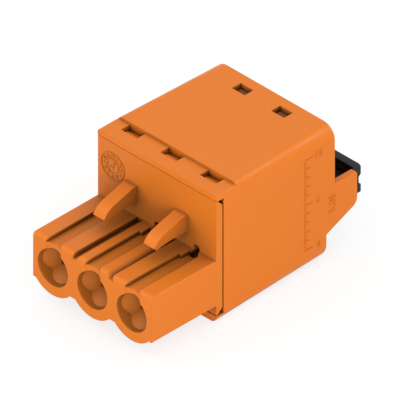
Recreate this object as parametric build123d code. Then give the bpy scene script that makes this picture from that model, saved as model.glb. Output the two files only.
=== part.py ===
"""Three-pole plug connector for circuit boards, with tension clamps.

Millimetres, +Z up. Wires enter from -Y and the mating nose looks to +Y.
The origin is on the resting surface, under the middle of the whole plug.
Inside this file Y starts at the front of the wire tongue, and every piece
is moved by half the plug's length as it is written.
"""
import os
from math import sqrt

from build123d import *

os.makedirs("parts", exist_ok=True)

# Poles
pitch = 5.08
poles = 3

# Lengths along the plug
tongue_length = 8.355
plate_thickness = 0.80
wall_seam = 0.13
shell_length = 15.245
cheek_reach = 2.87
nose_reach = 3.95

# Outer shell
side_step = 0.04
side_wall = 0.60
floor_thickness = 0.75
bay_height = 12.75
lip_thickness = 0.57
roof_step = 0.26
roof_step_length = 2.60
back_wall = 1.20
low_back_inset = 1.00
low_back_height = 2.93
lip_edge_radius = 0.17
roof_edge_radius_front = 0.60
roof_edge_radius_back = 1.45
bottom_edge_radius_front = 0.78
bottom_edge_radius_back = 1.87
bay_edge_radius = 0.60
low_back_edge_radius = 0.15
nose_port_height = 5.27

# Latch openings in the roof
latch_slot_width = 2.05
latch_slot_start = 1.445
latch_window_width = 1.65
latch_window_length = 1.135
latch_window_from_back = 1.12

# Side cheeks behind the shell
cheek_thickness = 0.55
cheek_top = 8.07
cheek_rise = 1.64
cheek_low_radius = 0.90
cheek_top_radius = 0.35

# Fits between the mouldings
fit_gap = 0.10
plate_gap = 0.12
nose_gap = 0.06

# Wire tongue
tongue_underside = 1.95
tongue_top = 6.88
tongue_edge_radius = 0.15
tongue_front_radius = 0.50
lobe_radius = 3.00

# Wire entry: round mouth, four-sided funnel, square passage
wire_axis_height = 4.00
mouth_radius = 1.93
mouth_depth = 0.60
funnel_slope = 0.90
funnel_draft = 0.13
passage_width = 1.50

# Screwdriver groove above each wire entry
groove_width = 1.68
groove_depth = 0.45
groove_mouth_radius = 0.32
groove_scoop = 0.36
groove_scoop_low = 5.50
neck_start_from_plate = 1.45
neck_inner_half = 0.53
neck_outer_half = 0.78
pit_start_from_plate = 0.62
pit_taper_from_plate = 0.15
tunnel_length = 0.30
tunnel_lip = 0.40
tunnel_depth = 0.98
keyhole_width = 0.74
keyhole_top = 7.50

# Narrow groove beside the middle pole
side_groove_width = 0.79
side_groove_depth = 0.55
side_groove_slant = 0.45
side_groove_mouth_radius = 0.16

# Front plate and finger tabs
plate_top_gap = 0.05
plate_back_chamfer = 0.60
tab_width = 1.41
tab_reach = 4.305
tab_root_top = 10.32
tab_root_flat = 0.42
tab_root_height = 2.08
tab_nose_top = 8.56
tab_nose_height = 0.30
tab_shoulder_reach = 3.10
tab_shoulder_top = 9.56
tab_arch = 0.28
tab_brow_forward = 0.09
tab_brow_rise = 0.12

# Frame behind the plate and the carrier behind it
frame_length = 5.245
frame_wall = 0.70
cell_width = 4.30
carrier_back_wall = 1.30
carrier_shelf_length = 3.40
latch_height = 0.25
latch_length = 1.00
rear_latch_height = 0.45
latch_side_gap = 0.15
latch_root = 0.20

# Mating nose of the carrier
nose_top = 6.93
rib_length = 1.09
rib_height = 1.19
rib_ledge_height = 0.52
rib_ledge_depth = 0.05
rib_bevel_length = 0.22
rib_bevel_height = 0.36
nose_recess_depth = 0.27
nose_recess_low = 5.76
nose_recess_high = 6.65
nose_recess_bevel = 0.25
nose_low_edge = 4.93
nose_low_chamfer = 0.06
contact_cell_width = 3.20
contact_cell_height = 1.64
contact_cell_end = 1.15
pin_window_width = 1.60
pin_window_height = 1.30
pin_lead_in = 0.35

# Current bar with its fork contact
bar_axis_height = 5.83
bar_thickness = 0.80
bar_width = 3.00
bar_tip_width = 2.40
bar_tip_length = 1.90
fork_length = 3.30
fork_width = 2.40
fork_slot_width = 1.30
fork_contact_gap = 0.90
fork_tip_from_nose_end = 1.35
fork_tip_chamfer = 0.25
fork_lead_in = 0.05
fork_contact_setback = 0.60
fork_contact_length = 0.30
fork_throat_length = 0.60

# Steel clip around the fork
clip_thickness = 0.25
clip_gap = 0.03
clip_web_length = 1.20
clip_length = 2.80
clip_height = 1.36

# Tension clamp spring
spring_thickness = 0.40
spring_width = 3.40
spring_loop_radius = 2.60
spring_bend_radius = 1.20
spring_leg_from_plate = 2.84
spring_back_gap = 0.80
spring_seat_start = 1.20
spring_foot_height = 2.60
spring_window_width = 2.70
spring_window_low = 3.00
spring_window_play = 0.27

# Margins of the cutting bodies
reach_past = 1.0
overlap = 0.01

# Places worked out from the sizes above
plug_width = poles * pitch
pole_places = [(i - (poles - 1) / 2) * pitch for i in range(poles)]
seam_places = [(i - poles / 2) * pitch for i in range(1, poles)]
plate_half = plug_width / 2
shell_half = plate_half + side_step
bay_half = shell_half - side_wall
insert_half = bay_half - fit_gap
insert_edge_radius = bay_edge_radius - fit_gap

plate_front = tongue_length
plate_back = plate_front + plate_thickness
wall_front = plate_back + wall_seam
step_place = plate_front + roof_step_length
shell_back = plate_front + shell_length
bay_back = shell_back - back_wall
low_back = shell_back - low_back_inset
low_bay_back = low_back - back_wall
cheek_back = shell_back + cheek_reach
cheek_slope = cheek_rise / (cheek_back - low_back)
nose_end = shell_back + nose_reach
plug_length = nose_end

bay_floor = floor_thickness
bay_roof = bay_floor + bay_height
lip_top = bay_roof + lip_thickness
roof_top = lip_top + roof_step
insert_floor = bay_floor + fit_gap
insert_roof = bay_roof - fit_gap

frame_back = plate_back + frame_length
carrier_front = frame_back + fit_gap
carrier_back = bay_back - fit_gap
cell_back = carrier_back - carrier_back_wall
cell_floor = insert_floor + frame_wall
cell_roof = insert_roof - frame_wall

bar_low = bar_axis_height - bar_thickness / 2
bar_high = bar_axis_height + bar_thickness / 2
fork_tip = nose_end - fork_tip_from_nose_end
fork_root = fork_tip - fork_length


def block(x_span, y_span, z_span):
    """Box between the two ends of each span."""
    sizes = [span[1] - span[0] for span in (x_span, y_span, z_span)]
    middle = [(span[0] + span[1]) / 2 for span in (x_span, y_span, z_span)]
    return Pos(*middle) * Box(*sizes)


def bay_block(half_width, y_span, z_span, low_radius):
    """Box across the plug, with its two lower long edges rounded."""
    height = z_span[1] - z_span[0]
    face = Pos(0, z_span[0] + height / 2) * Rectangle(2 * half_width, height)
    face = fillet(face.vertices().sort_by(Axis.Y)[:2], low_radius)
    return cross_prism(face, y_span)


def around(middle, width):
    """Span of a width about a middle."""
    return (middle - width / 2, middle + width / 2)


def cross_plane(y):
    """Plane across the plug: its x is X and its y is Z."""
    return Plane(origin=(0, y, 0), x_dir=(1, 0, 0), z_dir=(0, -1, 0))


def side_plane(x):
    """Plane along the plug: its x is Y and its y is Z."""
    return Plane(origin=(x, 0, 0), x_dir=(0, 1, 0), z_dir=(1, 0, 0))


def cross_prism(sketch, y_span):
    """Sketch across the plug, drawn out along Y."""
    return extrude(cross_plane(y_span[1]) * sketch, y_span[1] - y_span[0])


def side_prism(sketch, x_span):
    """Sketch of a side view, drawn out along X."""
    return extrude(side_plane(x_span[0]) * sketch, x_span[1] - x_span[0])


def outline(points):
    """Flat face inside straight edges."""
    return make_face(Polyline(*points, close=True))


def grown(front_value, back_value, y):
    """Value that grows evenly along the shell."""
    share = (y - plate_front) / shell_length
    return front_value + (back_value - front_value) * share


def shell_section(y, top, top_radius):
    """Rounded outer section of the shell at one place."""
    face = Pos(0, top / 2) * Rectangle(2 * shell_half, top)
    corners = face.vertices().sort_by(Axis.Y)
    face = fillet(corners[:2], grown(bottom_edge_radius_front, bottom_edge_radius_back, y))
    corners = face.vertices().sort_by(Axis.Y)
    face = fillet(corners[-2:], top_radius)
    return cross_plane(y) * face


def shell_body():
    """Solid sleeve, low at the front lip and high behind the step."""
    lip_front = shell_section(plate_front, lip_top, lip_edge_radius)
    lip_back = shell_section(step_place, lip_top, lip_edge_radius)
    main_front = shell_section(step_place, roof_top, roof_edge_radius_front)
    main_back = shell_section(shell_back, roof_top, roof_edge_radius_back)
    return loft([lip_front, lip_back], ruled=True) + loft([main_front, main_back], ruled=True)


def cheek_sketch():
    """Side view of a cheek, with the slope under it."""
    points = [
        (bay_back, low_back_height),
        (low_back, low_back_height),
        (cheek_back, low_back_height + cheek_rise),
        (cheek_back, cheek_top),
        (bay_back, cheek_top),
    ]
    face = outline(points)
    back_corners = face.vertices().sort_by(Axis.X)[-2:]
    face = fillet(back_corners.sort_by(Axis.Y)[0], cheek_low_radius)
    top_corner = face.vertices().sort_by(lambda corner: corner.X + corner.Y)[-1]
    return fillet(top_corner, cheek_top_radius)


def nose_port():
    """Opening in the back wall that the nose passes."""
    half = shell_half - cheek_thickness
    z_span = (low_back_height, low_back_height + nose_port_height)
    return block((-half, half), (low_bay_back, shell_back + reach_past), z_span)


def make_shell():
    """Outer shell: sleeve with lips, latch openings and two cheeks."""
    shell = shell_body()
    slope_end = shell_back + reach_past
    under_slope = outline([
        (low_back, -reach_past),
        (low_back, low_back_height),
        (slope_end, low_back_height + cheek_slope * (slope_end - low_back)),
        (slope_end, -reach_past),
    ])
    shell -= side_prism(under_slope, (-plug_width, plug_width))
    low_edges = shell.edges().filter_by(Axis.X)
    low_edges = low_edges.filter_by_position(Axis.Y, low_back - overlap, low_back + overlap)
    shell = fillet(low_edges.sort_by(Axis.Z)[0], low_back_edge_radius)
    shell += side_prism(cheek_sketch(), (shell_half - cheek_thickness, shell_half))
    shell += side_prism(cheek_sketch(), (-shell_half, cheek_thickness - shell_half))
    shell -= block(
        (-plug_width, plug_width), (plate_front - reach_past, wall_front), (bay_floor, bay_roof)
    )
    shell -= bay_block(bay_half, (plate_front, low_bay_back), (bay_floor, bay_roof), bay_edge_radius)
    shell -= block((-bay_half, bay_half), (plate_front, bay_back), (low_back_height, bay_roof))
    shell -= nose_port()
    slot_front = plate_front + latch_slot_start
    for x in pole_places:
        shell -= block(around(x, latch_slot_width), (slot_front, step_place), (cell_roof, roof_top))
    window_back = shell_back - latch_window_from_back
    for x in seam_places:
        window_span = (window_back - latch_window_length, window_back)
        shell -= block(around(x, latch_window_width), window_span, (cell_roof, roof_top + reach_past))
    return shell


def tongue():
    """Bar with rounded upper edges and a rounded lobe under each wire entry."""
    height = tongue_top - tongue_underside
    bar = Pos(0, tongue_underside + height / 2) * Rectangle(plug_width, height)
    bar = fillet(bar.vertices().sort_by(Axis.Y)[-2:], tongue_edge_radius)
    lobes = Sketch()
    for x in pole_places:
        lobes += Pos(x, wire_axis_height) * Circle(lobe_radius)
    lobe_zone = Rectangle(plug_width, wire_axis_height, align=(Align.CENTER, Align.MIN))
    bar += lobes & lobe_zone
    length = plate_front + plate_thickness / 2
    side_view = Pos(length / 2, tongue_top / 2) * Rectangle(length, tongue_top)
    front_corner = side_view.vertices().sort_by(lambda corner: corner.X - corner.Y)[0]
    side_view = fillet(front_corner, tongue_front_radius)
    return cross_prism(bar, (0, length)) & side_prism(side_view, (-plug_width, plug_width))


def rounded_corner(start, end, middle):
    """Quarter arc between two points, bulging away from its middle."""
    halves = [(start[i] + end[i]) / 2 - middle[i] for i in (0, 1)]
    between = tuple(middle[i] + halves[i] * sqrt(2) for i in (0, 1))
    return ThreePointArc(start, between, end)


def channel_plan(low_x, high_x, y_end, radius):
    """Plan of a channel whose open front flares round its two banks."""
    wide_low = low_x - radius
    wide_high = high_x + radius
    plan = Polyline((wide_low, 0), (wide_low, -reach_past), (wide_high, -reach_past), (wide_high, 0))
    plan += rounded_corner((wide_high, 0), (high_x, radius), (wide_high, radius))
    plan += Polyline((high_x, radius), (high_x, y_end), (low_x, y_end), (low_x, radius))
    plan += rounded_corner((low_x, radius), (wide_low, 0), (wide_low, radius))
    return make_face(plan)


def channel(x_span, floor, y_end, mouth_radius):
    """Channel along the tongue's top, down to a flat floor, flared at its open front."""
    plan = channel_plan(*x_span, y_end, mouth_radius)
    return extrude(Pos(0, 0, floor) * plan, tongue_top + reach_past - floor)


def groove_scoop_cut(x):
    """Round scoop in the front of a screwdriver groove, down into the wire hole."""
    half = groove_width / 2 + groove_mouth_radius
    radius = (half**2 + groove_scoop**2) / (2 * groove_scoop)
    plan = channel_plan(*around(x, groove_width), plate_front, groove_mouth_radius)
    plan &= Pos(x, groove_scoop - radius) * Circle(radius)
    return extrude(Pos(0, 0, groove_scoop_low) * plan, tongue_top - groove_scoop_low)


def wire_hole(x):
    """Round mouth, then four flat ramps in a cone with draft, then a square passage."""
    ramp_start = 2 * (mouth_radius + funnel_slope * mouth_depth)
    ramp_length = (ramp_start - passage_width) / 2 / funnel_slope
    wide = cross_plane(0) * Pos(x, wire_axis_height) * Rectangle(ramp_start, ramp_start)
    narrow = cross_plane(ramp_length) * Pos(x, wire_axis_height) * Rectangle(passage_width, passage_width)
    mouth = cross_prism(Pos(x, wire_axis_height) * Circle(mouth_radius), (0, mouth_depth))
    mouth_end = cross_plane(mouth_depth) * Pos(x, wire_axis_height) * Circle(mouth_radius)
    ramp_end = cross_plane(ramp_length) * Pos(x, wire_axis_height) * Circle(mouth_radius - funnel_draft)
    funnel = mouth + (loft([wide, narrow], ruled=True) & loft([mouth_end, ramp_end], ruled=True))
    passage_span = (ramp_length - overlap, plate_back + reach_past)
    passage = block(around(x, passage_width), passage_span, around(wire_axis_height, passage_width))
    return funnel + passage


def groove_cut(x):
    """Screwdriver groove: scoop, channel, neck, pit, and a keyhole through the plate."""
    neck_start = plate_front - neck_start_from_plate
    pit_start = plate_front - pit_start_from_plate
    tunnel_start = plate_front - tunnel_length
    groove_floor = tongue_top - groove_depth
    pit_floor = tongue_top - tunnel_depth
    keyhole_radius = keyhole_width / 2
    x_span = around(x, groove_width)
    neck_x = (x - neck_inner_half, x + neck_outer_half)
    cut = groove_scoop_cut(x)
    cut += channel(x_span, groove_floor, neck_start, groove_mouth_radius)
    cut += block(neck_x, (neck_start - overlap, pit_start), (groove_floor, tongue_top + reach_past))
    pit = outline([
        (neck_x[0], pit_start - overlap),
        (neck_x[1], pit_start - overlap),
        (x + keyhole_radius, plate_front - pit_taper_from_plate),
        (x + keyhole_radius, tunnel_start),
        (neck_x[0], tunnel_start),
    ])
    cut += extrude(Pos(0, 0, pit_floor) * pit, tunnel_depth + reach_past)
    cut += block(x_span, (tunnel_start, plate_back + reach_past), (pit_floor, tongue_top - tunnel_lip))
    keyhole = Pos(x, keyhole_top - keyhole_radius) * Circle(keyhole_radius)
    keyhole_height = keyhole_top - keyhole_radius - pit_floor
    keyhole += Pos(x, pit_floor + keyhole_height / 2) * Rectangle(keyhole_width, keyhole_height)
    return cut + cross_prism(keyhole, (tunnel_start, plate_back + reach_past))


def side_groove_cut(side):
    """Narrow groove beside the middle pole, with a slanting inner bank."""
    outer = pitch / 2
    inner = outer - side_groove_width
    floor_inner = inner + side_groove_slant
    floor = tongue_top - side_groove_depth
    face = outline([
        (side * outer, floor),
        (side * floor_inner, floor),
        (side * inner, tongue_top + overlap),
        (side * outer, tongue_top + overlap),
    ])
    bank = cross_prism(face, (-reach_past, plate_front))
    x_span = sorted((side * outer, side * floor_inner))
    mouth = channel(x_span, floor, plate_front, side_groove_mouth_radius)
    return bank + mouth


def tab_sketch():
    """Side view of a finger tab, rooted in the plate."""
    root = (plate_front + plate_thickness / 2, tab_root_top)
    flat_end = (plate_front - tab_root_flat, tab_root_top)
    shoulder = (plate_front - tab_shoulder_reach, tab_shoulder_top)
    nose = (plate_front - tab_reach, tab_nose_top)
    nose_low = (nose[0] + tab_nose_height, tab_nose_top - tab_nose_height)
    root_low = (root[0], tab_root_top - tab_root_height)
    arch_top = ((nose_low[0] + root_low[0]) / 2, (nose_low[1] + root_low[1]) / 2 + tab_arch)
    brow = (
        (shoulder[0] + nose[0]) / 2 - tab_brow_forward,
        (shoulder[1] + nose[1]) / 2 + tab_brow_rise,
    )
    edges = Line(root, flat_end)
    edges += Line(flat_end, shoulder)
    edges += ThreePointArc(shoulder, brow, nose)
    edges += Line(nose, nose_low)
    edges += ThreePointArc(nose_low, arch_top, root_low)
    edges += Line(root_low, root)
    return make_face(edges)


def latch(middle, y_front, z_low):
    """Wedge that snaps into an opening of the roof."""
    side_view = outline([
        (y_front, z_low - latch_root),
        (y_front, z_low + latch_height),
        (y_front + latch_length / 2, z_low + latch_height),
        (y_front + latch_length, z_low - latch_root),
    ])
    return side_prism(side_view, middle)


def plate_with_frame():
    """Front plate with the open frame that slides into the shell."""
    plate_low = bay_floor + plate_gap
    plate_high = bay_roof - plate_top_gap
    plate = block((-plate_half, plate_half), (plate_front, plate_back), (plate_low, plate_high))
    back_edges = plate.edges().filter_by(Axis.X).sort_by(Axis.Y)[-2:]
    plate = chamfer(back_edges, plate_back_chamfer)
    frame_span = (plate_back - plate_back_chamfer, frame_back)
    plate += bay_block(insert_half, frame_span, (insert_floor, insert_roof), insert_edge_radius)
    cell_span = (plate_back, frame_back + reach_past)
    for x in pole_places:
        plate -= block(around(x, cell_width), cell_span, (cell_floor, cell_roof))
    latch_front = plate_front + latch_slot_start + latch_side_gap
    for x in pole_places:
        plate += latch(around(x, latch_slot_width - 2 * latch_side_gap), latch_front, insert_roof)
    return plate


def make_entry_block():
    """Wire entry block: plate, frame, tongue, grooves, funnels and tabs."""
    body = plate_with_frame() + tongue()
    for x in pole_places:
        body -= groove_cut(x)
        body -= wire_hole(x)
    for side in (-1, 1):
        body -= side_groove_cut(side)
    tab_inner = pitch / 2
    body += side_prism(tab_sketch(), (tab_inner, tab_inner + tab_width))
    body += side_prism(tab_sketch(), (-tab_inner - tab_width, -tab_inner))
    return body


def nose_sketch():
    """Side view of the mating nose, from the bay to its rear end."""
    under = low_back_height + plate_gap
    rear_low = nose_end - nose_recess_depth
    slope_end = low_back + (nose_low_edge - under) / cheek_slope
    rib_front = nose_end - rib_length
    rib_top = nose_top + rib_height
    ledge_z = nose_top + rib_ledge_height
    return outline([
        (cell_back, under),
        (low_back, under),
        (slope_end, nose_low_edge),
        (nose_end - nose_low_chamfer, nose_low_edge),
        (nose_end, nose_low_edge + nose_low_chamfer),
        (nose_end, nose_recess_low),
        (rear_low, nose_recess_low),
        (rear_low, nose_recess_high),
        (nose_end, nose_recess_high + nose_recess_bevel),
        (nose_end, rib_top - rib_bevel_height),
        (nose_end - rib_bevel_length, rib_top),
        (rib_front + rib_ledge_depth, rib_top),
        (rib_front + rib_ledge_depth, ledge_z),
        (rib_front, ledge_z),
        (rib_front, nose_top),
        (cell_back, nose_top),
    ])


def carrier_cells(x):
    """Hollow of one pole: spring cell, bar slot, contact cell, pin window."""
    cell = block(around(x, cell_width), (carrier_front - reach_past, cell_back), (cell_floor, cell_roof))
    shelf_front = cell_back - carrier_shelf_length
    cell -= block(around(x, cell_width), (shelf_front, cell_back), (cell_floor, bar_low))
    contact_span = around(bar_axis_height, contact_cell_height)
    contact_end = nose_end - contact_cell_end
    cell += block(around(x, contact_cell_width), (cell_back - overlap, contact_end), contact_span)
    window_span = around(bar_axis_height, pin_window_height)
    cell += block(around(x, pin_window_width), (contact_end - overlap, nose_end + reach_past), window_span)
    lead_in = outline([
        (x - pin_window_width / 2, nose_end - pin_lead_in),
        (x + pin_window_width / 2, nose_end - pin_lead_in),
        (x + pin_window_width / 2 + pin_lead_in, nose_end),
        (x + pin_window_width / 2 + pin_lead_in, nose_end + reach_past),
        (x - pin_window_width / 2 - pin_lead_in, nose_end + reach_past),
        (x - pin_window_width / 2 - pin_lead_in, nose_end),
    ])
    return cell + extrude(Pos(0, 0, window_span[0]) * lead_in, pin_window_height)


def make_carrier():
    """Contact carrier: rear insert with the mating nose."""
    body_span = (carrier_front, carrier_back)
    body = bay_block(insert_half, body_span, (insert_floor, insert_roof), insert_edge_radius)
    body -= block(
        (-plug_width, plug_width),
        (low_bay_back - fit_gap, shell_back),
        (insert_floor - reach_past, low_back_height + plate_gap),
    )
    nose_half = shell_half - cheek_thickness - nose_gap
    nose = side_prism(nose_sketch(), (-nose_half, nose_half))
    nose -= block((-plug_width, plug_width), (cell_back, carrier_back - overlap), (0, nose_top))
    body += nose
    for x in pole_places:
        body -= carrier_cells(x)
    latch_back = shell_back - latch_window_from_back - latch_side_gap
    latch_front = latch_back - latch_window_length + 2 * latch_side_gap
    latch_width = latch_window_width - 2 * latch_side_gap
    latch_z = (cell_roof, insert_roof + rear_latch_height)
    for x in seam_places:
        body += block(around(x, latch_width), (latch_front, latch_back), latch_z)
    return body


def make_bar(x):
    """Current bar: narrow tip in the clamp, flat seat, fork contact."""
    tip_end = plate_back + spring_leg_from_plate - spring_thickness - fit_gap
    seat_start = tip_end + bar_tip_length
    half_slot = fork_slot_width / 2
    half_gap = fork_contact_gap / 2
    half_fork = fork_width / 2
    contact_place = fork_tip - fork_contact_setback
    throat_start = contact_place - fork_contact_length
    right_half = [
        (0, tip_end),
        (bar_tip_width / 2, tip_end),
        (bar_tip_width / 2, seat_start),
        (bar_width / 2, seat_start),
        (bar_width / 2, fork_root),
        (half_fork, fork_root),
        (half_fork, contact_place),
        (half_fork - fork_tip_chamfer, fork_tip),
        (half_slot + fork_lead_in, fork_tip),
        (half_gap, contact_place),
        (half_gap, throat_start),
        (half_slot, throat_start - fork_throat_length),
        (half_slot, fork_root + half_slot),
        (0, fork_root),
    ]
    half = outline(right_half)
    flat = half + mirror(half, about=Plane.YZ)
    return Pos(x, 0, bar_low) * extrude(flat, bar_thickness)


def make_clip(x):
    """Steel clip that presses the two tines of the fork together."""
    clip_front = fork_root + clip_gap
    inner = fork_width / 2 + clip_gap
    outer = inner + clip_thickness
    web_low = bar_high + clip_gap
    top = web_low + clip_thickness
    clip = block((x - outer, x + outer), (clip_front, clip_front + clip_web_length), (web_low, top))
    for side in (-1, 1):
        leaf = (x + side * inner, x + side * outer)
        leaf_span = (min(leaf), max(leaf))
        clip += block(leaf_span, (clip_front, clip_front + clip_length), (top - clip_height, top))
    return clip


def make_spring(x):
    """Clamp spring: seat leg on the bar, loop, and a leg with a window."""
    leg_y = plate_back + spring_leg_from_plate
    seat_z = bar_high + spring_thickness / 2
    loop_y = cell_back - spring_back_gap - spring_thickness / 2 - spring_loop_radius
    loop_top = seat_z + 2 * spring_loop_radius
    bend_y = leg_y + spring_bend_radius
    bend_corner = spring_bend_radius * (1 - sqrt(0.5))
    path = Line((leg_y + spring_seat_start, seat_z), (loop_y, seat_z))
    path += ThreePointArc(
        (loop_y, seat_z), (loop_y + spring_loop_radius, seat_z + spring_loop_radius), (loop_y, loop_top)
    )
    path += Line((loop_y, loop_top), (bend_y, loop_top))
    path += ThreePointArc(
        (bend_y, loop_top),
        (leg_y + bend_corner, loop_top - bend_corner),
        (leg_y, loop_top - spring_bend_radius),
    )
    path += Line((leg_y, loop_top - spring_bend_radius), (leg_y, spring_foot_height))
    strip = trace(path, line_width=spring_thickness)
    spring = side_prism(strip, around(x, spring_width))
    window_top = bar_high + spring_window_play
    leg_span = (leg_y - spring_thickness, leg_y + spring_thickness)
    return spring - block(around(x, spring_window_width), leg_span, (spring_window_low, window_top))


def write(piece, name):
    """Write one piece in the plug's own frame."""
    placed = Pos(0, -plug_length / 2, 0) * piece
    export_step(placed, f"parts/{name}.step")


write(make_shell(), "outer_shell")
write(make_entry_block(), "wire_entry_block")
write(make_carrier(), "contact_carrier")
for number, place in enumerate(pole_places, start=1):
    write(make_bar(place), f"current_bar_{number}")
    write(make_clip(place), f"contact_clip_{number}")
    write(make_spring(place), f"clamp_spring_{number}")

print(f"plug {2 * shell_half:.2f} wide, {plug_length:.3f} long, {roof_top:.2f} high")
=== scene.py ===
# %% [markdown]
# # A three-pole plug connector for circuit boards
#
# This lesson dresses a plug that was drawn as solids in a CAD program. The plug
# is an orange sleeve, an orange wire entry block, a black carrier with a mating
# nose, and nine small metal pieces inside. The solids come in ready made and in
# the right place, so the work here is the camera, the light, the finish of each
# surface, and the fine relief that a mould leaves on plastic.
#
# Everything is in metres, because the CAD frame is. The plug is only 28 mm long,
# so the sizes below are written in millimetres and multiplied by one named value.

# %% Load the solids
import math

import bmesh
import bpy
from mathutils import Matrix, Vector


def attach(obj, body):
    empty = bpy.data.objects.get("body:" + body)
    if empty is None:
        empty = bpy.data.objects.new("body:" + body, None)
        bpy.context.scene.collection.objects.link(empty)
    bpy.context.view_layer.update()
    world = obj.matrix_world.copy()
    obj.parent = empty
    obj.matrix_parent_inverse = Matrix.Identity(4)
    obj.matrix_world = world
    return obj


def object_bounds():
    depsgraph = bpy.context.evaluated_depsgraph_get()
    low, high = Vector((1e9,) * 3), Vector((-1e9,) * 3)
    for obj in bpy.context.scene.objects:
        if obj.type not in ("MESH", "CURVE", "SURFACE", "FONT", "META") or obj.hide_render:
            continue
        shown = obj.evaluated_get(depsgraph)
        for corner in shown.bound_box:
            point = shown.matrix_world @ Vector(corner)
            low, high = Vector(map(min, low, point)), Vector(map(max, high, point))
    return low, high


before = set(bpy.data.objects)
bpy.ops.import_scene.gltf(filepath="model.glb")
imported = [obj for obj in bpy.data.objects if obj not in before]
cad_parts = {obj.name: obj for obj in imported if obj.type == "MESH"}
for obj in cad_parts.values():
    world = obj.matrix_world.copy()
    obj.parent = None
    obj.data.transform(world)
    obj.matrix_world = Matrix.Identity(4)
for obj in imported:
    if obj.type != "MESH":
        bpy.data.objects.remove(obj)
cad_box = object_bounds()
mm = 0.001

print("solids:", ", ".join(sorted(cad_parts)))
print("plug size in mm:", [round((high - low) / mm, 2) for low, high in zip(*cad_box)])

# %% [markdown]
# ## The camera
#
# The photograph is a parallel view: edges that run away from the eye stay
# parallel. A perspective lens can't give that, so the camera is orthographic, and
# its ortho_scale is simply the width of the picture in metres. It stands at 45
# degrees to the plug and looks down by 35 degrees. Its distance doesn't change an
# orthographic picture, as long as the plug is between the clipping planes.

# %% Camera
view_azimuth = math.radians(45)
view_elevation = math.radians(35)
picture_width = 36.44 * mm
aim = Vector((0, 0.107 * mm, 7.23 * mm))
camera_distance = 120 * mm
nearest_seen = 1 * mm
farthest_seen = 1000 * mm

towards_camera = Vector((
    math.sin(view_azimuth) * math.cos(view_elevation),
    -math.cos(view_azimuth) * math.cos(view_elevation),
    math.sin(view_elevation),
))
scene = bpy.context.scene
lens = bpy.data.cameras.new("Camera")
lens.type = "ORTHO"
lens.ortho_scale = picture_width
lens.clip_start = nearest_seen
lens.clip_end = farthest_seen
camera = bpy.data.objects.new("Camera", lens)
camera.location = aim + towards_camera * camera_distance
camera.rotation_euler = towards_camera.to_track_quat("Z", "Y").to_euler()
scene.collection.objects.link(camera)
scene.camera = camera

print("camera at", [round(value / mm, 1) for value in camera.location], "mm")

# %% [markdown]
# ## Writing node trees by hand
#
# A material is a tree of nodes, and a script that builds one adds nodes, sets their
# inputs and links their sockets. Three short helpers keep the trees below
# readable. The first adds a node with its inputs set. The second sends values
# through a Math node. The third answers a question that the sky and the floor
# both ask: is this ray looking at me, or carrying light? The Light Path node
# knows. Rays from the camera, from a mirror or through glass look; all others
# carry light.
#
# The Standard view transform shows a colour as it is written, which suits a part
# that other people will use under their own light.

# %% Node helpers
scene.view_settings.view_transform = "Standard"


def add_node(tree, kind, **settings):
    """New node of a tree, with its inputs set by name."""
    node = tree.nodes.new(kind)
    for name, value in settings.items():
        node.inputs[name.replace("_", " ")].default_value = value
    return node


def combined(tree, operation, *values):
    """Two values, or one alone, put through one Math operation."""
    node = tree.nodes.new("ShaderNodeMath")
    node.operation = operation
    for value, entry in zip(values, node.inputs):
        tree.links.new(value, entry)
    return node.outputs["Value"]


def seen_directly(tree):
    """1 for rays from the camera, a mirror or glass, and 0 for light on its way."""
    rays = add_node(tree, "ShaderNodeLightPath").outputs
    camera_or_mirror = combined(tree, "MAXIMUM", rays["Is Camera Ray"], rays["Is Glossy Ray"])
    return combined(tree, "MAXIMUM", camera_or_mirror, rays["Is Transmission Ray"])


print("view transform:", scene.view_settings.view_transform)

# %% [markdown]
# ## The sky
#
# In the photograph every open face has nearly the same brightness, and only the
# grooves and corners are dark. That is what an overcast sky does: light comes
# evenly from all sides, and a groove sees less of it. Many lamps around the plug
# could do it too, but a bright world is simpler and has no edges.
#
# The upright faces are as bright as the roof, although they see only half of the
# sky. So the sky is stronger at the horizon than overhead. The picture's
# background is plain white, so rays that look at the sky find strength 1.

# %% World
zenith_light = 0.76
horizon_light = 1.36
sky_seen = 1.0

world = bpy.data.worlds.new("White room")
world.use_nodes = True
scene.world = world
sky = world.node_tree
sky.nodes.clear()
sky_output = add_node(sky, "ShaderNodeOutputWorld")
sky_background = add_node(sky, "ShaderNodeBackground", Color=(1, 1, 1, 1))
direction = add_node(sky, "ShaderNodeTexCoord")
direction_parts = add_node(sky, "ShaderNodeSeparateXYZ")
dome = add_node(sky, "ShaderNodeMapRange", To_Min=horizon_light, To_Max=zenith_light)
dome_or_white = add_node(sky, "ShaderNodeMix", B=sky_seen)
sky.links.new(direction.outputs["Generated"], direction_parts.inputs["Vector"])
sky.links.new(direction_parts.outputs["Z"], dome.inputs["Value"])
sky.links.new(seen_directly(sky), dome_or_white.inputs["Factor"])
sky.links.new(dome.outputs["Result"], dome_or_white.inputs["A"])
sky.links.new(dome_or_white.outputs["Result"], sky_background.inputs["Strength"])
sky.links.new(sky_background.outputs["Background"], sky_output.inputs["Surface"])

print("the sky lights with", horizon_light, "at the horizon and", zenith_light, "overhead")

# %% [markdown]
# ## The floor
#
# The plug rests on a pale floor that keeps its shadow. A matt white floor would
# throw much orange light back and forth, and its edge would show against the sky.
# So the floor is light grey for the light that travels, and for rays that look at
# it, it is a darker grey with a glow on top. Far from the plug the two add up to
# white and the edge is gone, and near the plug the soft shadow is left. The glow
# is never seen by travelling light, so it doesn't light the plug.

# %% Floor
floor_half = 0.6
floor_tone = 0.55
floor_tone_seen = 0.28
floor_glow = 0.76


def empty_material(name):
    """New material, its node tree, and the output node that is alone in it."""
    material = bpy.data.materials.new(name)
    material.use_nodes = True
    material.node_tree.nodes.clear()
    return material, material.node_tree, add_node(material.node_tree, "ShaderNodeOutputMaterial")


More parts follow.
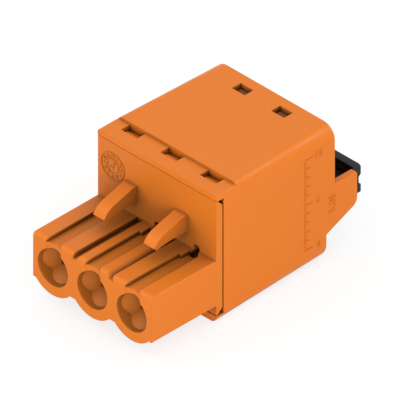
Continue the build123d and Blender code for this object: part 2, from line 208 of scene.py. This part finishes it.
floor_mesh = bpy.data.meshes.new("Floor")
floor_corners = [(x * floor_half, y * floor_half, 0) for x, y in ((-1, -1), (1, -1), (1, 1), (-1, 1))]
floor_mesh.from_pydata(floor_corners, [], [(0, 1, 2, 3)])
floor = bpy.data.objects.new("Floor", floor_mesh)
scene.collection.objects.link(floor)

floor_paint, tree, output = empty_material("Pale floor")
looking = seen_directly(tree)
tone = add_node(tree, "ShaderNodeMix", A=floor_tone, B=floor_tone_seen)
strength = add_node(tree, "ShaderNodeMix", A=0.0, B=floor_glow)
matt = add_node(tree, "ShaderNodeBsdfDiffuse")
glow = add_node(tree, "ShaderNodeEmission", Color=(1, 1, 1, 1))
both = add_node(tree, "ShaderNodeAddShader")
tree.links.new(looking, tone.inputs["Factor"])
tree.links.new(looking, strength.inputs["Factor"])
tree.links.new(tone.outputs["Result"], matt.inputs["Color"])
tree.links.new(strength.outputs["Result"], glow.inputs["Strength"])
tree.links.new(matt.outputs["BSDF"], both.inputs[0])
tree.links.new(glow.outputs["Emission"], both.inputs[1])
tree.links.new(both.outputs["Shader"], output.inputs["Surface"])
floor_mesh.materials.append(floor_paint)

print("floor", 2 * floor_half, "m wide")

# %% [markdown]
# ## The lamps
#
# An even sky gives no highlights, yet the photograph has faint pale lines along
# the rounded roof edge and on the brows of the finger tabs. A brighter patch in
# the sky could make them, but a lamp is easier to aim. Two soft lamps add them.
# They only shine: visible_diffuse is off, so they make highlights but leave the
# even brightness of the faces alone. A third lamp, weak and wide, stands low near
# the viewer and lifts the upright faces that the picture shows.

# %% Lamps
lamp_distance = 150 * mm


def soft_lamp(name, direction, size, power, only_shine=False):
    """Round area lamp that looks at the plug from one direction."""
    data = bpy.data.lights.new(name, "AREA")
    data.shape = "DISK"
    data.size = size
    data.energy = power
    lamp = bpy.data.objects.new(name, data)
    direction = Vector(direction).normalized()
    lamp.location = aim + direction * lamp_distance
    lamp.rotation_euler = direction.to_track_quat("Z", "Y").to_euler()
    lamp.visible_diffuse = not only_shine
    scene.collection.objects.link(lamp)
    print(name, "of", power, "W,", round(size / mm), "mm wide")


soft_lamp("Edge lamp", direction=(0.39, 0.58, 0.72), size=45 * mm, power=0.060, only_shine=True)
soft_lamp("Brow lamp", direction=(-0.58, -0.55, 0.60), size=90 * mm, power=0.030, only_shine=True)
soft_lamp("Front lamp", direction=(0.70, -0.68, 0.22), size=80 * mm, power=0.055)

# %% [markdown]
# ## Moulded plastic: the surface
#
# The orange pieces are injection moulded. Such plastic is coloured through, a
# little glossy, and takes the fine grain of the spark-eroded mould. One flat
# colour would look like paint. Real mouldings show three things at close range: a
# grain of a few thousandths of a millimetre, faint flow marks where the melt
# spread, and softly rounded edges, because no mould has a perfectly sharp corner.
#
# The grain is a fine Noise texture in a Bump node, and a slow noise changes the
# gloss. A Noise texture keeps mostly between 0.3 and 0.7, so a Map Range spreads
# that part over the two values that are wanted. The rounded edges come from the
# Bevel node: it bends the shading normal near each edge, so the edge catches the
# light while the solid stays as it is.

# %% Grain, gloss and soft edges
edge_radius = 0.08 * mm
edge_samples = 6
grain_size = 0.05 * mm
grain_detail = 2
grain_strength = 0.5
cloud_detail = 3
cloud_low = 0.3
cloud_high = 0.7


def cloudy_value(tree, place, size, low, high):
    """Slow noise between two values, for what changes a little over a surface."""
    noise = add_node(tree, "ShaderNodeTexNoise", Scale=1 / size, Detail=cloud_detail)
    spread = add_node(tree, "ShaderNodeMapRange", From_Min=cloud_low, From_Max=cloud_high)
    spread.inputs["To Min"].default_value = low
    spread.inputs["To Max"].default_value = high
    tree.links.new(place, noise.inputs["Vector"])
    tree.links.new(noise.outputs["Fac"], spread.inputs["Value"])
    return spread.outputs["Result"]


def grained_normal(tree, place, height, soft_edges):
    """Normal with a fine grain, bent round near the edges where they are soft."""
    grain = add_node(tree, "ShaderNodeTexNoise", Scale=1 / grain_size, Detail=grain_detail)
    bump = add_node(tree, "ShaderNodeBump", Strength=grain_strength, Distance=height)
    tree.links.new(place, grain.inputs["Vector"])
    tree.links.new(grain.outputs["Fac"], bump.inputs["Height"])
    if soft_edges:
        rounding = add_node(tree, "ShaderNodeBevel", Radius=edge_radius)
        rounding.samples = edge_samples
        tree.links.new(rounding.outputs["Normal"], bump.inputs["Normal"])
    return bump.outputs["Normal"]


print("edges look rounded by", round(edge_radius / mm, 2), "mm")

# %% [markdown]
# ## Moulded plastic: painted shade in hollows
#
# The colour is painted browner and darker deep in a groove than the lamps and the
# sky make it: this is painted shade. The Ambient Occlusion node measures how open a
# place is. It is asked twice. With a long reach it finds the wide hollows between
# the tabs and the plate, and a Color Ramp turns that openness into a colour with
# painted shade. With a reach of one millimetre it finds slits, seams and sharp inner
# corners, which are painted darker once more.
#
# The long reach looks only at the piece itself, or the floor would count as a
# wall and darken the sides. Small raised marks are so thin that their own shape
# tells nothing, so those in a hollow look at the whole plug instead.

# %% Painted shade by depth
hollow_reach = 11.0 * mm
slit_reach = 1.1 * mm
slit_closed = 0.08
slit_open = 0.58
openness_samples = 8


def openness(tree, reach, own_piece_only):
    """How much of the space within reach is open, from 0 to 1."""
    look_around = add_node(tree, "ShaderNodeAmbientOcclusion", Distance=reach)
    look_around.samples = openness_samples
    look_around.only_local = own_piece_only
    return look_around.outputs["AO"]


def depth_colour(tree, colour_and_shade_stops, painted_slit_light, own_piece_only):
    """Colour with painted shade: a ramp over the hollows, painted darker again in slits."""
    ramp = add_node(tree, "ShaderNodeValToRGB")
    stops = ramp.color_ramp.elements
    while len(stops) < len(colour_and_shade_stops):
        stops.new(0.5)
    for stop, (place, colour) in zip(stops, colour_and_shade_stops):
        stop.position = place
        stop.color = (*colour, 1)
    slit = add_node(tree, "ShaderNodeMapRange", From_Min=slit_closed, From_Max=slit_open)
    slit.inputs["To Min"].default_value = painted_slit_light
    darken = add_node(tree, "ShaderNodeVectorMath")
    darken.operation = "SCALE"
    tree.links.new(openness(tree, hollow_reach, own_piece_only), ramp.inputs["Fac"])
    tree.links.new(openness(tree, slit_reach, False), slit.inputs["Value"])
    tree.links.new(ramp.outputs["Color"], darken.inputs["Vector"])
    tree.links.new(slit.outputs["Result"], darken.inputs["Scale"])
    return darken.outputs["Vector"]


print("hollows are felt within", round(hollow_reach / mm), "mm")
print("slits are felt within", round(slit_reach / mm, 1), "mm")

# %% [markdown]
# ## Moulded plastic: the whole tree
#
# Colour with painted shade, a gloss that clouds along the flow marks, and the grained
# normal meet in one Principled shader. A Principled shader is the usual choice for
# plastic, because its coat of reflection keeps the right strength at every angle.

# %% Moulded plastic
flow_size = 4 * mm
flow_gloss = 0.04
plastic_grain = 0.004 * mm


def moulded_plastic(name, colour_and_shade_stops, painted_slit_light, roughness, specular, own_piece_only=True):
    """Coloured plastic with grain, flow marks, soft edges and painted shade in hollows."""
    material, tree, output = empty_material(name)
    shader = add_node(tree, "ShaderNodeBsdfPrincipled", Specular_IOR_Level=specular)
    place = add_node(tree, "ShaderNodeTexCoord").outputs["Object"]
    colour = depth_colour(tree, colour_and_shade_stops, painted_slit_light, own_piece_only)
    gloss = cloudy_value(tree, place, flow_size, roughness - flow_gloss, roughness + flow_gloss)
    normal = grained_normal(tree, place, plastic_grain, soft_edges=True)
    tree.links.new(colour, shader.inputs["Base Color"])
    tree.links.new(gloss, shader.inputs["Roughness"])
    tree.links.new(normal, shader.inputs["Normal"])
    tree.links.new(shader.outputs["BSDF"], output.inputs["Surface"])
    return material


print("plastic grain of", round(plastic_grain / mm, 3), "mm")

# %% [markdown]
# ## Orange and black
#
# The two plastics share the tree and differ in colour and gloss. In the holes the
# orange is painted a deep brown as shade; on open faces it is the full signal
# orange. The black of the carrier is a glass-filled grade: a little rougher, never
# quite black, and its gloss is what shows its edges. Each colour is a list of stops
# of painted shade, from a closed place to an open one.

# %% Orange and black
# Painted shade: each list runs from a dark colour for closed places to the plastic's own colour on open
# faces.
orange_and_painted_shade = [
    (0.10, (0.10, 0.030, 0.006)),
    (0.30, (0.30, 0.098, 0.015)),
    (0.45, (0.455, 0.140, 0.019)),
    (0.62, (0.585, 0.170, 0.020)),
    (0.98, (0.806, 0.203, 0.013)),
]
black_and_painted_shade = [
    (0.30, (0.003, 0.003, 0.003)),
    (0.95, (0.010, 0.010, 0.011)),
]
# The slit light value is the share of colour left in slits: painted shade.
orange_finish_and_shade = {"painted_slit_light": 0.10, "roughness": 0.40, "specular": 0.20}
hollow_name = "Orange plastic in a hollow"
orange = moulded_plastic("Orange plastic", orange_and_painted_shade, **orange_finish_and_shade)
orange_marks = moulded_plastic(hollow_name, orange_and_painted_shade, own_piece_only=False, **orange_finish_and_shade)
black = moulded_plastic("Black plastic", black_and_painted_shade, painted_slit_light=0.20, roughness=0.48, specular=0.24)
print("plastics:", orange.name, "and", black.name)

# %% [markdown]
# ## Warm light in the roof windows
#
# Two latches of the black carrier stand in the roof windows, between orange walls
# that light them brown. A renderer finds little of that, because the light has to
# bounce many times in a narrow well, so that light is painted on. The latches are
# by far the highest part of the carrier, so height alone picks them out: above a
# certain level the black gives way to a painted warm brown light. The socket that
# fed the shader is looked up first, and the new node goes in between.

# %% Painted warm light on the latch tops
latch_level = 11.0 * mm
latch_blend = 0.5 * mm
# Painted light: the warm brown stands in for light bounced from the orange walls.
latch_painted_light = (0.23, 0.078, 0.034, 1)

tree = black.node_tree
shader = next(node for node in tree.nodes if node.type == "BSDF_PRINCIPLED")
painted_shade_colour = shader.inputs["Base Color"].links[0].from_socket
place = add_node(tree, "ShaderNodeTexCoord")
height = add_node(tree, "ShaderNodeSeparateXYZ")
above = add_node(tree, "ShaderNodeMapRange", From_Min=latch_level, From_Max=latch_level + latch_blend)
black_or_painted_light = add_node(tree, "ShaderNodeMixRGB", Color2=latch_painted_light)
tree.links.new(place.outputs["Object"], height.inputs["Vector"])
tree.links.new(height.outputs["Z"], above.inputs["Value"])
tree.links.new(above.outputs["Result"], black_or_painted_light.inputs["Fac"])
tree.links.new(painted_shade_colour, black_or_painted_light.inputs["Color1"])
tree.links.new(black_or_painted_light.outputs["Color"], shader.inputs["Base Color"])

print("brown above", round(latch_level / mm, 1), "mm")

# %% [markdown]
# ## Painted shade in the tongue's grooves
#
# A wide groove for the screwdriver runs along the tongue over each wire. In the
# photograph its side walls grow dark towards the floor, more than the openness
# alone tells, so these walls get painted shade on top. Only these walls look
# sideways, lie in the half millimetre under the tongue's top, and stand close to a
# wire's axis, so three tests pick them out.
#
# The wires are one pitch apart. A Math node set to Ping-Pong folds the width of
# the plug back and forth over half a pitch, which gives the distance to the
# nearest wire. Each test gives a value from 0 to 1, and multiplied together they
# are 1 on the groove walls only.

# %% Find the groove walls
tongue_top = 6.88 * mm
groove_floor = tongue_top - 0.45 * mm
half_pitch = 2.54 * mm
wall_facing = (0.6, 0.8)
wall_shade_depth = (0.02 * mm, 0.30 * mm)
floor_blend = 0.10 * mm
wall_from_wire = (1.3 * mm, 1.1 * mm)


def ramp_between(tree, value, low, high):
    """0 at the low value, 1 at the high value, and straight in between."""
    spread = add_node(tree, "ShaderNodeMapRange", From_Min=low, From_Max=high)
    tree.links.new(value, spread.inputs["Value"])
    return spread.outputs["Result"]


tree = orange.node_tree
surface = add_node(tree, "ShaderNodeNewGeometry")
facing = add_node(tree, "ShaderNodeSeparateXYZ")
place = add_node(tree, "ShaderNodeTexCoord")
spot = add_node(tree, "ShaderNodeSeparateXYZ")
tree.links.new(surface.outputs["True Normal"], facing.inputs["Vector"])
tree.links.new(place.outputs["Object"], spot.inputs["Vector"])

sideways = ramp_between(tree, combined(tree, "ABSOLUTE", facing.outputs["X"]), *wall_facing)
sunk = ramp_between(tree, spot.outputs["Z"], *(tongue_top - depth for depth in wall_shade_depth))
above_floor = ramp_between(tree, spot.outputs["Z"], groove_floor - floor_blend, groove_floor)
from_wire = combined(tree, "PINGPONG", spot.outputs["X"])
from_wire.node.inputs[1].default_value = half_pitch
near_wire = ramp_between(tree, from_wire, *wall_from_wire)
groove_wall = combined(tree, "MULTIPLY", combined(tree, "MULTIPLY", sideways, sunk), above_floor)
groove_wall = combined(tree, "MULTIPLY", groove_wall, near_wire)

print("groove walls lie between", round(groove_floor / mm, 2), "and", round(tongue_top / mm, 2), "mm")

# %% [markdown]
# With the walls found, a Map Range turns their 1 into the share of light that is
# left there, and a Vector Math node scales the colour by that share on its way to
# the shader: painted shade in the colour.

# %% Paint shade on the groove walls
# Painted shade: the share of colour the groove walls keep at their foot.
wall_painted_light = 0.36

shader = next(node for node in tree.nodes if node.type == "BSDF_PRINCIPLED")
painted_shade_colour = shader.inputs["Base Color"].links[0].from_socket
light_left = add_node(tree, "ShaderNodeMapRange", To_Min=1.0, To_Max=wall_painted_light)
shade = add_node(tree, "ShaderNodeVectorMath")
shade.operation = "SCALE"
tree.links.new(groove_wall, light_left.inputs["Value"])
tree.links.new(painted_shade_colour, shade.inputs["Vector"])
tree.links.new(light_left.outputs["Result"], shade.inputs["Scale"])
tree.links.new(shade.outputs["Vector"], shader.inputs["Base Color"])

print("groove walls keep", wall_painted_light, "of their light at the foot")

# %% [markdown]
# ## Metal inside
#
# The clamp springs are stainless strip and the current bars are tinned copper.
# Both are rolled: fine lines run along the strip. A noise whose coordinates are
# scaled down along the strip is stretched there and gives such lines, and it goes
# into the roughness and a very weak bump. The shader's Anisotropic setting could
# draw out the highlights too, but it needs to know the strip's direction at every
# point, and the noise doesn't. The springs are bent in an upright plane, so their
# noise is stretched along y and z, and the bars' only along y. The tin is duller
# and a little warmer than the steel.

# %% Metal material
line_size = 0.04 * mm
line_gloss = 0.06
line_height = 0.002 * mm
along_spring = (1, 0.06, 0.06)
along_bar = (1, 0.05, 1)


def rolled_metal(name, colour, roughness, stretch_by):
    """Metal strip with fine rolling lines where its noise is stretched."""
    material, tree, output = empty_material(name)
    shader = add_node(tree, "ShaderNodeBsdfPrincipled", Metallic=1.0, Base_Color=(*colour, 1))
    place = add_node(tree, "ShaderNodeTexCoord").outputs["Object"]
    stretch = add_node(tree, "ShaderNodeMapping", Scale=stretch_by)
    tree.links.new(place, stretch.inputs["Vector"])
    along = stretch.outputs["Vector"]
    gloss = cloudy_value(tree, along, line_size, roughness - line_gloss, roughness + line_gloss)
    normal = grained_normal(tree, along, line_height, soft_edges=False)
    tree.links.new(gloss, shader.inputs["Roughness"])
    tree.links.new(normal, shader.inputs["Normal"])
    tree.links.new(shader.outputs["BSDF"], output.inputs["Surface"])
    return material


spring_steel = rolled_metal("Spring steel", (0.58, 0.57, 0.56), 0.30, along_spring)
tinned_copper = rolled_metal("Tinned copper", (0.66, 0.64, 0.60), 0.42, along_bar)
print("metals:", spring_steel.name, "and", tinned_copper.name)

# %% [markdown]
# ## Finishes on the solids
#
# Each solid already stands where it belongs, so it only needs its material. Its
# one slot is swapped for the new material, and its mesh stays untouched. A table
# from names to materials would do, but it has to be kept up with every new solid.
# The beginning of a name already says what the solid is made of.

# %% Assign materials
def finish_for(node_name):
    """Material of a solid, by its name."""
    if node_name.startswith(("clamp_spring", "contact_clip")):
        return spring_steel
    if node_name.startswith("current_bar"):
        return tinned_copper
    if node_name == "contact_carrier":
        return black
    return orange


for node_name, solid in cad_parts.items():
    solid.data.materials.clear()
    solid.data.materials.append(finish_for(node_name))
    print(node_name, "gets", solid.data.materials[0].name)

# %% [markdown]
# ## Raised marks: how they are made
#
# Mouldings carry small raised marks, cut into the steel of the mould: numbers,
# scales, the witness of an ejector pin. They stand up by a few hundredths of a
# millimetre. A bump map could fake them, but they catch light on their sides and
# are wanted in the exported meshes, so they are real prisms that sink a little
# into the wall they stand on.
#
# Each mark is drawn flat in a bmesh, Blender's editable mesh, with x to the right,
# y up and z out of the wall. The simplest one is a prism over an outline: a face
# at the foot, a face on top, and a side for each edge of the outline.

# %% Prism over an outline
relief_height = 0.07 * mm
relief_sink = 0.02 * mm


def raise_outline(shape, points):
    """Flat prism over an outline, with its corners given counterclockwise."""
    low = [shape.verts.new((x, y, -relief_sink)) for x, y in points]
    high = [shape.verts.new((x, y, relief_height)) for x, y in points]
    shape.faces.new(low[::-1])
    shape.faces.new(high)
    for i in range(len(points)):
        j = (i + 1) % len(points)
        shape.faces.new((low[i], low[j], high[j], high[i]))


print("marks stand", round(relief_height / mm, 2), "mm high")

# %% [markdown]
# ## Raised marks: rings
#
# A dial and an ejector pin leave rings. A face can't have a hole in it, so a ring
# isn't a prism over one outline. It is made of four circles instead, the outer and
# the inner one at the foot and on top, and a belt of quads joins each circle to
# the next.

# %% Ring between two radii
ring_steps = 72


def circle_points(radius):
    """Corners of a circle, counterclockwise."""
    turns = [2 * math.pi * i / ring_steps for i in range(ring_steps)]
    return [(radius * math.cos(turn), radius * math.sin(turn)) for turn in turns]


def raise_ring(shape, outer, inner):
    """Flat ring between two radii."""
    edges = [(outer, -relief_sink), (outer, relief_height), (inner, relief_height), (inner, -relief_sink)]
    loops = [[shape.verts.new((x, y, z)) for x, y in circle_points(radius)] for radius, z in edges]
    for loop, next_loop in zip(loops, loops[1:] + loops[:1]):
        for i in range(ring_steps):
            j = (i + 1) % ring_steps
            shape.faces.new((loop[i], loop[j], next_loop[j], next_loop[i]))


print("a ring has", 4 * ring_steps, "faces")

# %% [markdown]
# ## Raised marks: standing on a wall
#
# One turn stands a flat drawing on its wall. The builder says in which direction
# it reads and which way is upward on it, and the cross product of the two points
# out of the wall. These three directions are the columns of the turn's matrix.
# Every mark then rides on the plug's only body, so that it moves along with it.

# %% Stand a mark on a wall
right = Vector((1, 0, 0))
back = Vector((0, 1, 0))
up = Vector((0, 0, 1))


def stand_on_wall(name, shape, centre, reading, upward, material):
    """Piece made of a flat drawing, stood on a wall of the plug."""
    bmesh.ops.recalc_face_normals(shape, faces=shape.faces)
    mesh = bpy.data.meshes.new(name)
    shape.to_mesh(mesh)
    shape.free()
    mesh.materials.append(material)
    piece = bpy.data.objects.new(name, mesh)
    turn = Matrix((reading, upward, reading.cross(upward))).transposed().to_4x4()
    piece.matrix_world = Matrix.Translation(centre) @ turn
    scene.collection.objects.link(piece)
    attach(piece, "root")
    print(name, "has", len(mesh.polygons), "faces")


print("a mark on the front looks towards", tuple(right.cross(up)))

# %% [markdown]
# ## Raised marks: numbers
#
# A mould maker engraves plain numbers with a standard alphabet. The digits could be
# outlined by hand, but Blender's own font gives them at once. A text object can be
# extruded, but it stays a curve, so it is turned into a mesh and its doubled
# corners are merged. It grows to both sides, and the back half is sunk in the wall.
# In the built-in font a digit fills about seven tenths of the font size, and that
# share turns a digit's wanted height into the size to ask for.

# %% Raised numbers
digit_share = 0.7
merge_distance = 0.0005 * mm


def raised_number(words, height):
    """Raised characters, centred on their own middle."""
    drawing = bpy.data.curves.new("Number", "FONT")
    drawing.body = words
    drawing.size = height / digit_share
    drawing.extrude = relief_height
    drawing.resolution_u = 3
    drawing.align_x = "CENTER"
    drawing.align_y = "CENTER"
    holder = bpy.data.objects.new("Number", drawing)
    mesh = bpy.data.meshes.new_from_object(holder)
    shape = bmesh.new()
    shape.from_mesh(mesh)
    bmesh.ops.remove_doubles(shape, verts=shape.verts, dist=merge_distance)
    bpy.data.objects.remove(holder)
    bpy.data.curves.remove(drawing)
    bpy.data.meshes.remove(mesh)
    return shape


print("a 1 mm digit asks for size", round(1 / digit_share, 2), "mm")

# %% [markdown]
# ## The date dial on the front plate
#
# A moulder sets the month of moulding with a small round insert: twelve numbers
# around a ring, and an arrow that is turned to one of them. It leaves exactly
# that on the part. A loop places the numbers like the hours of a clock, with sine
# and cosine, and keeps each of them upright. The dial sits on the plate's left
# side, above the tongue, where the hollow gets painted shade, so it takes the
# plastic whose painted shade looks at the whole plug.

# %% Date dial
plug_front = cad_box[0][1]
tongue_length = 8.355 * mm
dial_across = -5.70 * mm
dial_up = 10.90 * mm
dial_outer = 1.50 * mm
dial_inner = 0.78 * mm
dial_line = 0.09 * mm
dial_digit = 0.36 * mm
dial_months = 12

dial_centre = Vector((dial_across, plug_front + tongue_length, dial_up))
dial = bmesh.new()
raise_ring(dial, dial_outer, dial_outer - dial_line)
raise_ring(dial, dial_inner, dial_inner - dial_line)
stand_on_wall("date_dial_rings", dial, dial_centre, right, up, orange_marks)

number_radius = (dial_outer - dial_line + dial_inner) / 2
for month in range(1, dial_months + 1):
    month_angle = 2 * math.pi * month / dial_months
    outwards = right * math.sin(month_angle) + up * math.cos(month_angle)
    number = raised_number(str(month), dial_digit)
    number_place = dial_centre + outwards * number_radius
    stand_on_wall(f"date_dial_{month}", number, number_place, right, up, orange_marks)

# %% [markdown]
# ## The dial's arrow
#
# The arrow is one outline with seven corners: a shaft and a head. It is drawn
# pointing up and then turned to its month by turning the two directions that
# stand it on the wall.

# %% Arrow of the dial
arrow_month = 7
arrow_reach = 0.52 * mm
shaft_half = 0.07 * mm
head_half = 0.22 * mm
head_start = 0.12 * mm

arrow = bmesh.new()
raise_outline(arrow, [
    (-shaft_half, -arrow_reach),
    (shaft_half, -arrow_reach),
    (shaft_half, head_start),
    (head_half, head_start),
    (0, arrow_reach),
    (-head_half, head_start),
    (-shaft_half, head_start),
])
arrow_angle = 2 * math.pi * arrow_month / dial_months
arrow_up = right * math.sin(arrow_angle) + up * math.cos(arrow_angle)
arrow_right = right * math.cos(arrow_angle) - up * math.sin(arrow_angle)
stand_on_wall("date_dial_arrow", arrow, dial_centre, arrow_right, arrow_up, orange_marks)

# %% [markdown]
# ## The strip gauge on the right side
#
# A wire has to be stripped to a set length before it goes into the clamp. Many
# plugs carry a scale for it: one tick for each millimetre, a longer tick at 0, 5
# and 10, and plain numbers beside the long ones. Here it runs up the right side,
# near the back, drawn with x up the wall and y towards the front.
#
# Line and ticks are one moulded mark, so they are one outline, like a comb. Bars
# that only touch would leave hidden faces between them.

# %% Strip gauge
side_wall = cad_box[1][0]
gauge_line = 0.14 * mm
gauge_low = 2.40 * mm
gauge_place = plug_front + 19.90 * mm
gauge_length = 10
long_every = 5
short_tick = 0.50 * mm
long_tick = 0.80 * mm
gauge_digit = 0.75 * mm
number_gap = 0.78 * mm

half_line = gauge_line / 2
comb = [(gauge_length * mm + half_line, gauge_line), (-half_line, gauge_line)]
for tick in range(gauge_length + 1):
    tick_end = -short_tick if tick % long_every else -long_tick
    below, above = tick * mm - half_line, tick * mm + half_line
    comb += [(below, 0), (below, tick_end), (above, tick_end), (above, 0)]
gauge = bmesh.new()
raise_outline(gauge, comb)
stand_on_wall("strip_gauge", gauge, Vector((side_wall, gauge_place, gauge_low)), up, -back, orange)

for tick in range(0, gauge_length + 1, long_every):
    number = raised_number(str(tick), gauge_digit)
    number_place = Vector((side_wall, gauge_place + long_tick + number_gap, gauge_low + tick * mm))
    stand_on_wall(f"strip_gauge_{tick}", number, number_place, back, up, orange)

# %% [markdown]
# ## The pitch on the cheek
#
# The distance between two poles tells which header a plug fits, so it is moulded
# on the side as a plain number in millimetres. It is written from the same value
# that shaded the grooves, so the two can't disagree. It is read from below upwards.

# %% Pitch number
pitch_digit = 0.85 * mm
pitch_place = plug_front + 23.30 * mm
pitch_up = 6.00 * mm

pitch_words = f"{2 * half_pitch / mm:.2f}"
pitch_centre = Vector((side_wall, pitch_place, pitch_up))
stand_on_wall("pitch_number", raised_number(pitch_words, pitch_digit), pitch_centre, up, -back, orange)

# %% [markdown]
# ## Witness marks on the back wall
#
# Ejector pins push the sleeve out of the mould and leave a thin ring where their
# edge stood, and the gate where the melt came in leaves a small nub inside a ring.
# Both are on the back wall, where nobody looks at them in use. The helpers for
# rings and outlines make them, with the drawing's x turned to the left, because
# the back wall is looked at from behind.

# %% Ejector rings and gate
wall_back = plug_front + 23.60 * mm
witness_height = 11.20 * mm
pin_offset = 4.90 * mm
pin_radius = 0.85 * mm
pin_line = 0.06 * mm
gate_radius = 0.50 * mm
nub_radius = 0.16 * mm

for side, side_name in ((-1, "left"), (1, "right")):
    ring = bmesh.new()
    raise_ring(ring, pin_radius, pin_radius - pin_line)
    ring_place = Vector((side * pin_offset, wall_back, witness_height))
    stand_on_wall(f"ejector_ring_{side_name}", ring, ring_place, -right, up, orange)

gate = bmesh.new()
raise_ring(gate, gate_radius, gate_radius - pin_line)
raise_outline(gate, circle_points(nub_radius))
stand_on_wall("gate_mark", gate, Vector((0, wall_back, witness_height)), -right, up, orange)
